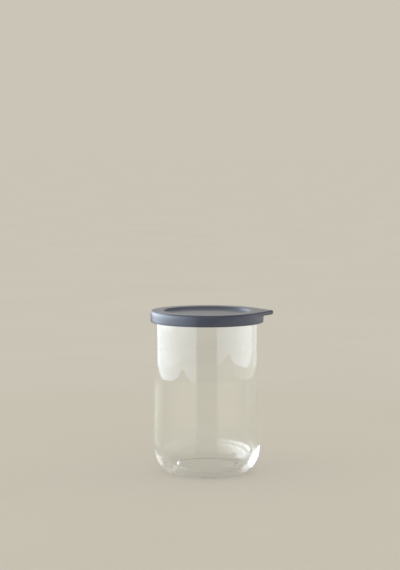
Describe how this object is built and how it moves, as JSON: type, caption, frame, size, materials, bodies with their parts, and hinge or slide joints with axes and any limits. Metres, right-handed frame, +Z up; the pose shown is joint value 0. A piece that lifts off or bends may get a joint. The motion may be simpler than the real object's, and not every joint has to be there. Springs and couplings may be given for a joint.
{
  "type": "lidded glass canister",
  "caption": "Straight clear glass storage canister with a soft rounded heel and a matte push-on lid that has a dished top, a pull tab and a seal ring round its plug.",
  "frame": {"origin": "on the jar's axis, on the surface that the jar stands on", "axes": "+Z up along the jar's axis, +X towards the tip of the pull tab"},
  "size_m": [0.1181, 0.109, 0.1569],
  "materials": {
    "jar_glass": "clear, fire-polished",
    "lid_plastic": "matte moulded, slate grey",
    "seal_silicone": "matte, translucent white"
  },
  "bodies": {
    "jar": {"glass_jar": "jar_glass"},
    "seal": {"seal_ring": "seal_silicone"},
    "lid": {"lid": "lid_plastic"}
  },
  "joints": [
    {"name": "lid_lift", "type": "slide", "parent": "jar", "child": "seal", "axis": [0, 0, 1], "range_m": [0, 0.12]},
    {"name": "lid_turn", "type": "hinge", "parent": "seal", "child": "lid", "pos_m": [0, 0, 0.1541], "axis": [0, 0, 1], "continuous": true}
  ]
}
